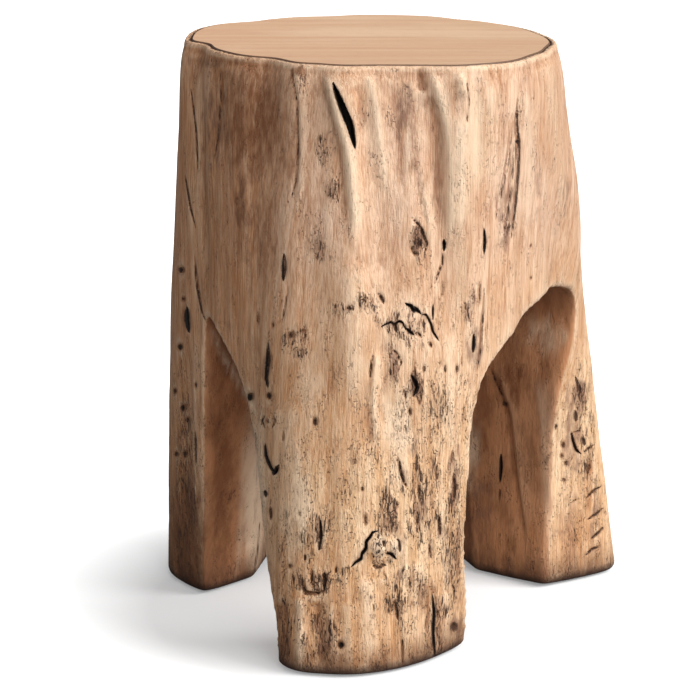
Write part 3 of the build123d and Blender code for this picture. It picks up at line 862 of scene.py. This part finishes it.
# The board's outline, one joint wider, is cut out of the log's top, and a round pocket out
# of each sole
board_reach, cut_over = 0.12, 0.02
pocket_sides, pocket_depth, pocket_middle = 48, 0.02, -0.005
board = copy_of("seat_board", "board_copy")
outline = {}
for vertex in board.data.vertices:
    away = vertex.co.xy - log_axis
    if abs(vertex.co.z - recess_floor) < hair and away.length > board_reach:
        outline[math.atan2(away.y, away.x)] = vertex.co.xy.copy()
bpy.data.objects.remove(board)
ring = [outline[turn] for turn in sorted(outline)]
wider = []
for index, spot in enumerate(ring):
    along = ring[(index + 1) % len(ring)] - ring[index - 1]
    out = Vector((along.y, -along.x)).normalized()
    wider.append(spot + out * (board_joint + joint_slack))
levels = (recess_floor, rim_top + cut_over)
rings = [[(spot.x, spot.y, level) for spot in wider] for level in levels]
cut_away(log, cutter_of(rings, "recess_cutter"))
for glide in glides:
    bpy.ops.object.select_all(action="DESELECT")
    bpy.ops.mesh.primitive_cylinder_add(
        vertices=pocket_sides,
        radius=glide_reach,
        depth=pocket_depth,
        location=(glide.x, glide.y, pocket_middle),
    )
    cut_away(log, bpy.context.object)
print("carved log", len(log.data.polygons), "faces after cutting")

# What the finish follows: off and near give the distance from a split or pit in its own
# widths and how open it is, and the rest are shares from 0 to 1
far_off, off_most, wedge_off, wedge_under = 3.0, 2.9, 1.8, 0.0025
split_near, split_opens, pit_near, pit_opens, pit_outside = 0.22, 5.0, 0.2, 4.5, 0.2
low_from, low_to, low_busy = 0.12, 0.3, 0.2
inside_facing, bulge_full = (0.0, 0.4), 0.4
dark_to_soles_from, dark_to_soles_to = 0.002, 0.034
lip_facing, lip_darkened = 0.9, 0.0026
smooth_angle = math.radians(40.0)

skin = Skin(log.data)
heights = skin.place[:, 2]
shares = {name: painted(skin, name) for name in paints}
shares["off"], shares["near"] = np.full(len(heights), far_off), np.zeros(len(heights))


def open_up(chosen, off, near):
    """Notes a split or pit where no other is nearer: how far it is, and how open."""
    closer = (off < off_most) & (off < shares["off"][chosen])
    shares["off"][chosen[closer]] = off[closer]
    shares["near"][chosen[closer]] = min(1.0, near)


# A flute's tone is painted in: painted shade where it is below zero, painted highlight above
for view, points, left, right, height, tone in all_folds:
    chosen, share = fold_shares(skin, view, points, left, right)
    side = shares["cream" if tone > 0.0 else "dark"]
    side[chosen] = np.maximum(side[chosen], share * abs(tone))
for view, points, width, depth in all_splits:
    chosen, off, along = skin.near(view, points, width)
    off = np.abs(off) / slimness(along)
    if depth > wedge_from:
        for index in np.nonzero(off < wedge_off)[0]:
            corner = Vector(skin.place[chosen[index]])
            nearest, facing = bare.find_nearest(corner)[:2]
            if (nearest - corner).dot(facing) > wedge_under:
                off[index] = 0.0
    open_up(chosen, off, split_near + depth / split_opens)
for view, spot, wide, tall, depth in all_pits:
    if depth > 0.0:
        chosen, off = near_spot(skin, view, spot, wide, tall)
        off = np.where(skin.outside[chosen] > pit_outside, off, far_off)
        open_up(chosen, off, pit_near + depth / pit_opens)
low_down = 1.0 - eased(heights, low_from, low_to)
shares["busy"] = np.maximum(shares["busy"], low_busy * low_down) * (0.25 + 0.75 * skin.outside)
shares["inside"] = 1.0 - eased(skin.outward, *inside_facing)
shares["inside"][heights > rim_top - rim_band] = 0.0
shares["bulge"] = skin.bulge(bulge_rounds) / bulge_full
shares["dark_to_soles"] = 1.0 - eased(heights, dark_to_soles_from, dark_to_soles_to)
shares["joint"] = np.zeros(len(heights))
lip = np.nonzero((heights > recess_floor) & (skin.outward < lip_facing))[0]
edge = np.array([(spot.x, spot.y) for spot in wider])
gaps = np.sqrt(((skin.place[lip, None, :2] - edge[None]) ** 2).sum(axis=2)).min(axis=1)
shares["joint"][lip] = 1.0 - np.minimum(gaps / lip_darkened, 1.0)
for name, values in shares.items():
    layer = log.data.attributes.new(name, "FLOAT", "POINT")
    layer.data.foreach_set("value", values.astype(np.float32))

select_only(log)
bpy.ops.object.shade_smooth_by_angle(angle=smooth_angle)
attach(log, "root")
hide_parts("trunk")


def new_finish(name, constants):
    """A material whose shader has its constants set, with its node tree and shader."""
    material = bpy.data.materials.new(name)
    material.use_nodes = True
    tree = material.node_tree
    tree.nodes.clear()
    shader = add_node(tree, "BsdfPrincipled", constants)
    add_node(tree, "OutputMaterial", {"Surface": shader.outputs[0]})
    return material, tree, shader


def linear(code):
    """A colour written as sRGB hex, in linear light."""
    shares = [int(code[place : place + 2], 16) / 255.0 for place in (0, 2, 4)]
    lit = [share / 12.92 if share <= 0.04045 else ((share + 0.055) / 1.055) ** 2.4 for share in shares]
    return (*lit, 1.0)


def drawn_out(tree, sources, noises, axis, gap, start):
    """Adds noises drawn out along an axis, each with its width and length in mm and detail."""
    spot = add_node(tree, "TexCoord").outputs["Object"]
    for index, (name, (width, length, detail)) in enumerate(noises.items()):
        stretch = [1000.0 / width] * 3
        stretch[axis] = 1000.0 / length
        places = {"Vector": spot, "Scale": stretch, "Location": (gap * index + start,) * 3}
        mapped = add_node(tree, "Mapping", places)
        form = {"Vector": mapped, "Scale": 1.0, "Detail": detail, "Roughness": 0.6}
        sources[name] = add_node(tree, "TexNoise", form)


def share_of(tree, sources, most, follows):
    """How far a layer shows: the most it may, times each thing it follows, from low to high."""
    share = most
    for name, low, high in follows:
        ranged = add_node(tree, "MapRange", {"Value": sources[name], "From Min": low, "From Max": high})
        share = add_node(tree, "Math", {0: share, 1: ranged}, operation="MULTIPLY")
    return share


def layered(tree, shader, sources, ground, layers):
    """Colours from the ground up: each with the most that it shows, and what it follows."""
    colour = linear(ground)
    for code, most, follows in layers:
        share = share_of(tree, sources, most, follows)
        colour = add_node(tree, "Mix", {0: share, 6: colour, 7: linear(code)}, data_type="RGBA")
    tree.links.new(colour.outputs[2], shader.inputs["Base Color"])


# Weathered teak, scraped and left dry: tan and golden, with long soft streaks, fine grain
# down the log and short dark marks in clusters. Every hollow and split is brown, partly with
# painted shade, the log's left side has painted shade, and what stands out has painted
# highlight. Matt.
cell_wide, cell_tall, cell_sway, cell_detail = 3.03, 6.67, 0.6, 2.0
relief_deep = 0.0013
weathered_teak, tree, shader = new_finish("weathered_teak", {"Roughness": 0.65, "Specular IOR Level": 0.25})
sources = {name: add_node(tree, "Attribute", attribute_name=name).outputs["Fac"] for name in shares}
noises = {
    "streak": (6.0, 120.0, 4.0), "hair": (1.0, 26.0, 3.0), "blotch": (22.0, 50.0, 4.0),
    "cloud": (60.0, 110.0, 2.0), "fleck": (2.0, 8.0, 2.0), "stroke": (1.5, 10.0, 1.5),
    "speck": (0.9, 1.2, 2.0), "lump": (5.0, 11.0, 2.0), "cluster": (11.0, 24.0, 3.0),
    "dot": (1.4, 2.0, 0.5), "fibre": (2.4, 80.0, 4.0), "dash": (0.9, 5.0, 1.0),
    "ragged": (5.0, 13.0, 4.0),
}
drawn_out(tree, sources, noises, axis=2, gap=3.7, start=1.3)
spot = add_node(tree, "TexCoord").outputs["Object"]
cells = (1000.0 / cell_wide, 1000.0 / cell_wide, 1000.0 / cell_tall)
mapped = add_node(tree, "Mapping", {"Vector": spot, "Scale": cells})
swirl = add_node(tree, "TexNoise", {"Vector": mapped, "Scale": cell_sway, "Detail": cell_detail})
bent = add_node(tree, "VectorMath", {0: mapped, 1: swirl.outputs["Color"]}, operation="ADD")
sources["cell"] = add_node(tree, "TexVoronoi", {"Vector": bent, "Scale": 1.0}, feature="DISTANCE_TO_EDGE")
axes = add_node(tree, "SeparateXYZ", {"Vector": spot}).outputs
sources["tall"], sources["right"] = axes["Z"], axes["X"]

# Paint with a ragged edge, and a split whose lips are frayed and that breaks off where it is
# thin: a name, the noise that frays it, how much, and what it starts from
ragged = (
    ("stain_and_shade_edge", "ragged", 1.6, "dark"),
    ("mauve_edge", "ragged", 2.2, "mauve"),
    ("marked", "cluster", 1.8, "busy"),
    ("open", "fleck", 1.0, "near"),
    ("frayed", "speck", 0.7, "off"),
    ("frayed", "fleck", 0.8, "frayed"),
)
for name, frayed_by, amount, base in ragged:
    parts = {0: sources[frayed_by], 1: amount, 2: sources[base]}
    sources[name] = add_node(tree, "Math", parts, operation="MULTIPLY_ADD")

layers = (
    ("CFA588", 1.0, (("streak", 0.36, 0.64),)),
    ("ECC699", 0.7, (("tall", 0.34, 0.14),)),
    ("D3A16F", 0.7, (("tall", 0.34, 0.14), ("streak", 0.44, 0.62))),
    ("C08A5C", 0.4, (("tall", 0.085, 0.04),)),
    # Painted shade: browner and more saturated towards the log's left side, turned from the key lamp
    ("D0905F", 0.7, (("right", -0.055, -0.12),)),
    ("B07045", 0.5, (("right", -0.055, -0.12), ("streak", 0.42, 0.62))),
    ("BC8150", 0.45, (("cloud", 0.45, 0.62),)),
    ("985F3A", 0.4, (("blotch", 0.56, 0.7),)),
    # Painted shade in hollows and painted highlight on what stands out
    ("85502E", 0.5, (("bulge", -0.1, -0.9),)),
    ("F3D8B9", 0.4, (("bulge", 0.1, 0.9),)),
    ("B27648", 0.45, (("fibre", 0.5, 0.66),)),
    ("85502F", 0.38, (("hair", 0.5, 0.68),)),
    ("F4D8B8", 0.35, (("hair", 0.5, 0.34),)),
    # The arches' inner faces: darker and browner, partly stain and partly painted shade
    ("B87A50", 0.8, (("inside", 0.0, 0.7),)),
    ("75462C", 0.5, (("inside", 0.0, 0.7), ("blotch", 0.45, 0.62))),
    # Rubbed wood, and painted highlight on lit facets, bosses and ridges
    ("F4DABB", 0.72, (("cream", 0.0, 1.0),)),
    # Old brown wood, and painted shade in hollows and on faces turned from the light
    ("7A4A2B", 0.85, (("stain_and_shade_edge", 1.1, 1.9),)),
    ("86624F", 0.75, (("mauve_edge", 1.45, 2.1),)),
    ("8C6048", 0.32, (("marked", 1.25, 1.7),)),
    ("5C3B28", 0.45, (("dash", 0.6, 0.66), ("marked", 0.8, 1.4))),
    ("38241A", 0.9, (("stroke", 0.56, 0.61), ("marked", 1.2, 1.5))),
    ("4A3022", 0.75, (("dot", 0.66, 0.7), ("marked", 0.9, 1.3))),
    ("40291C", 0.75, (("cell", 0.1, 0.02), ("busy", 0.75, 0.95))),
    # Painted shade: darker low on the far left
    ("6B4630", 0.55, (("right", -0.12, -0.15), ("tall", 0.12, 0.03))),
    # Darker towards the soles, near black in their lowest few millimetres
    ("5A3927", 0.9, (("dark_to_soles", 0.0, 1.0), ("blotch", 0.2, 0.5))),
    ("33211A", 0.8, (("dark_to_soles", 0.82, 1.0),)),
    # The log's lip is darker within a few millimetres of the seal
    ("2E1A10", 0.9, (("joint", 0.1, 0.7),)),
    ("6B452F", 0.5, (("frayed", 2.9, 1.5), ("open", 0.85, 1.1))),
    # Inside splits and deep pits: dark wood and painted shade, near black where they open deep
    ("3B2418", 0.9, (("frayed", 1.9, 1.35), ("open", 0.85, 1.05))),
    ("1A110C", 1.0, (("frayed", 1.75, 1.3), ("near", 0.7, 0.95))),
)
layered(tree, shader, sources, "E7C3A7", layers)

# Fine relief, in parts of its full depth: grain stands up, and marks and splits go in
reliefs = (
    (0.35, (("hair", 0.0, 1.0),)),
    (0.35, (("lump", 0.2, 0.8),)),
    (0.2, (("speck", 0.0, 1.0),)),
    (0.9, (("fleck", 0.2, 0.8), ("marked", 1.1, 1.6))),
    (-0.9, (("stroke", 0.54, 0.61), ("marked", 1.2, 1.5))),
    (-0.4, (("dash", 0.58, 0.66), ("marked", 0.7, 1.3))),
    (-0.7, (("cell", 0.1, 0.02), ("busy", 0.75, 0.95))),
    (-0.5, (("dot", 0.64, 0.7), ("marked", 0.9, 1.3))),
    (-1.0, (("frayed", 1.9, 1.3), ("open", 0.85, 1.05))),
)
relief = 0.0
for most, follows in reliefs:
    share = share_of(tree, sources, most, follows)
    relief = add_node(tree, "Math", {0: relief, 1: share}, operation="ADD")
bump = add_node(tree, "Bump", {"Height": relief, "Strength": 1.0, "Distance": relief_deep})
tree.links.new(bump.outputs[0], shader.inputs["Normal"])
log.data.materials.clear()
log.data.materials.append(weathered_teak)


# Seat board. A flat board of straight-grained teak, let into the log with its grain from side
# to side. It is planed and sanded, so it is smooth and matt, and its edge is just broken.
grain_deep = 0.0003


def dress(node, material):
    """Puts one material on a whole CAD node."""
    mesh = nodes[node].data
    mesh.materials.clear()
    mesh.materials.append(material)


sanded_teak, tree, shader = new_finish("sanded_teak", {"Roughness": 0.55})
facing = add_node(tree, "SeparateXYZ", {"Vector": add_node(tree, "NewGeometry").outputs["Normal"]})
sources = {"level": facing.outputs["Z"]}
noises = {
    "band": (14.0, 300.0, 3.0),
    "line": (2.4, 150.0, 4.0),
    "pore": (0.8, 9.0, 1.0),
    "patch": (60.0, 160.0, 2.0),
}
drawn_out(tree, sources, noises, axis=0, gap=2.9, start=3.3)
layers = (
    ("D2A482", 0.9, (("band", 0.38, 0.66),)),
    ("E6C3A2", 0.6, (("patch", 0.5, 0.66),)),
    ("B98663", 0.5, (("line", 0.52, 0.7), ("patch", 0.3, 0.6))),
    ("A9775A", 0.35, (("line", 0.6, 0.72),)),
    ("8A6146", 0.3, (("pore", 0.62, 0.72),)),
    # Painted shade: the board's faces darken where they turn down from level into the joint
    ("45291A", 0.85, (("level", 0.96, 0.8),)),
)
layered(tree, shader, sources, "DAB491", layers)
bump = add_node(tree, "Bump", {"Height": sources["line"], "Strength": 0.4, "Distance": grain_deep})
tree.links.new(bump.outputs[0], shader.inputs["Normal"])
dress("seat_board", sanded_teak)

# Joint seal. A bead of dark brown polyurethane, pressed into the joint round the board and
# smoothed off, which keeps water out of the recess. It cures matt, with slight smears.
smear_wide = 2.5
polyurethane_sealant, tree, shader = new_finish(
    "polyurethane_sealant", {"Roughness": 0.8, "Specular IOR Level": 0.2}
)
spot = add_node(tree, "TexCoord").outputs["Object"]
smear = add_node(tree, "TexNoise", {"Vector": spot, "Scale": 1000.0 / smear_wide, "Detail": 2.0})
layered(tree, shader, {"smear": smear}, "331F14", (("452C1D", 1.0, (("smear", 0.0, 1.0),)),))
dress("seat_joint_seal", polyurethane_sealant)

# Dowels. Three pins turned from beech, plain and pale, in blind holes between board and log,
# where they are out of sight. Their fibre is drawn coarser than it is.
fibre_wide, fibre_long = 1.43, 16.7
turned_beech, tree, shader = new_finish("turned_beech", {"Roughness": 0.5})
spot = add_node(tree, "TexCoord").outputs["Object"]
stretch = (1000.0 / fibre_wide, 1000.0 / fibre_wide, 1000.0 / fibre_long)
mapped = add_node(tree, "Mapping", {"Vector": spot, "Scale": stretch})
fibre = add_node(tree, "TexNoise", {"Vector": mapped, "Scale": 1.0, "Detail": 2.0})
layered(tree, shader, {"fibre": fibre}, "D9B98C", (("B8925F", 1.0, (("fibre", 0.0, 1.0),)),))
dress("seat_dowels", turned_beech)

# Glides. Moulded black nylon discs, let into pockets in the soles and standing 1.5 mm proud
# of them. They are matt with a fine grain, drawn coarser than it is.
grain_wide, grain_deep = 1.11, 0.0001
moulded_nylon, tree, shader = new_finish("moulded_nylon", {"Roughness": 0.5})
spot = add_node(tree, "TexCoord").outputs["Object"]
grain = add_node(tree, "TexNoise", {"Vector": spot, "Scale": 1000.0 / grain_wide, "Detail": 1.0})
layered(tree, shader, {"grain": grain}, "1B1917", (("2B2825", 1.0, (("grain", 0.0, 1.0),)),))
bump = add_node(tree, "Bump", {"Height": grain, "Strength": 0.3, "Distance": grain_deep})
tree.links.new(bump.outputs[0], shader.inputs["Normal"])
for foot in ("front", "right", "left"):
    dress(foot + "_glide", moulded_nylon)

# Glide screws. One countersunk screw holds each glide, turned from stainless steel, bright
# and faintly mottled.
mottle_wide = 0.67
stainless_steel, tree, shader = new_finish("stainless_steel", {"Metallic": 1.0, "Roughness": 0.3})
spot = add_node(tree, "TexCoord").outputs["Object"]
mottle = add_node(tree, "TexNoise", {"Vector": spot, "Scale": 1000.0 / mottle_wide, "Detail": 1.0})
layered(tree, shader, {"mottle": mottle}, "B9B8B5", (("D2D1CE", 1.0, (("mottle", 0.0, 1.0),)),))
dress("glide_screws", stainless_steel)
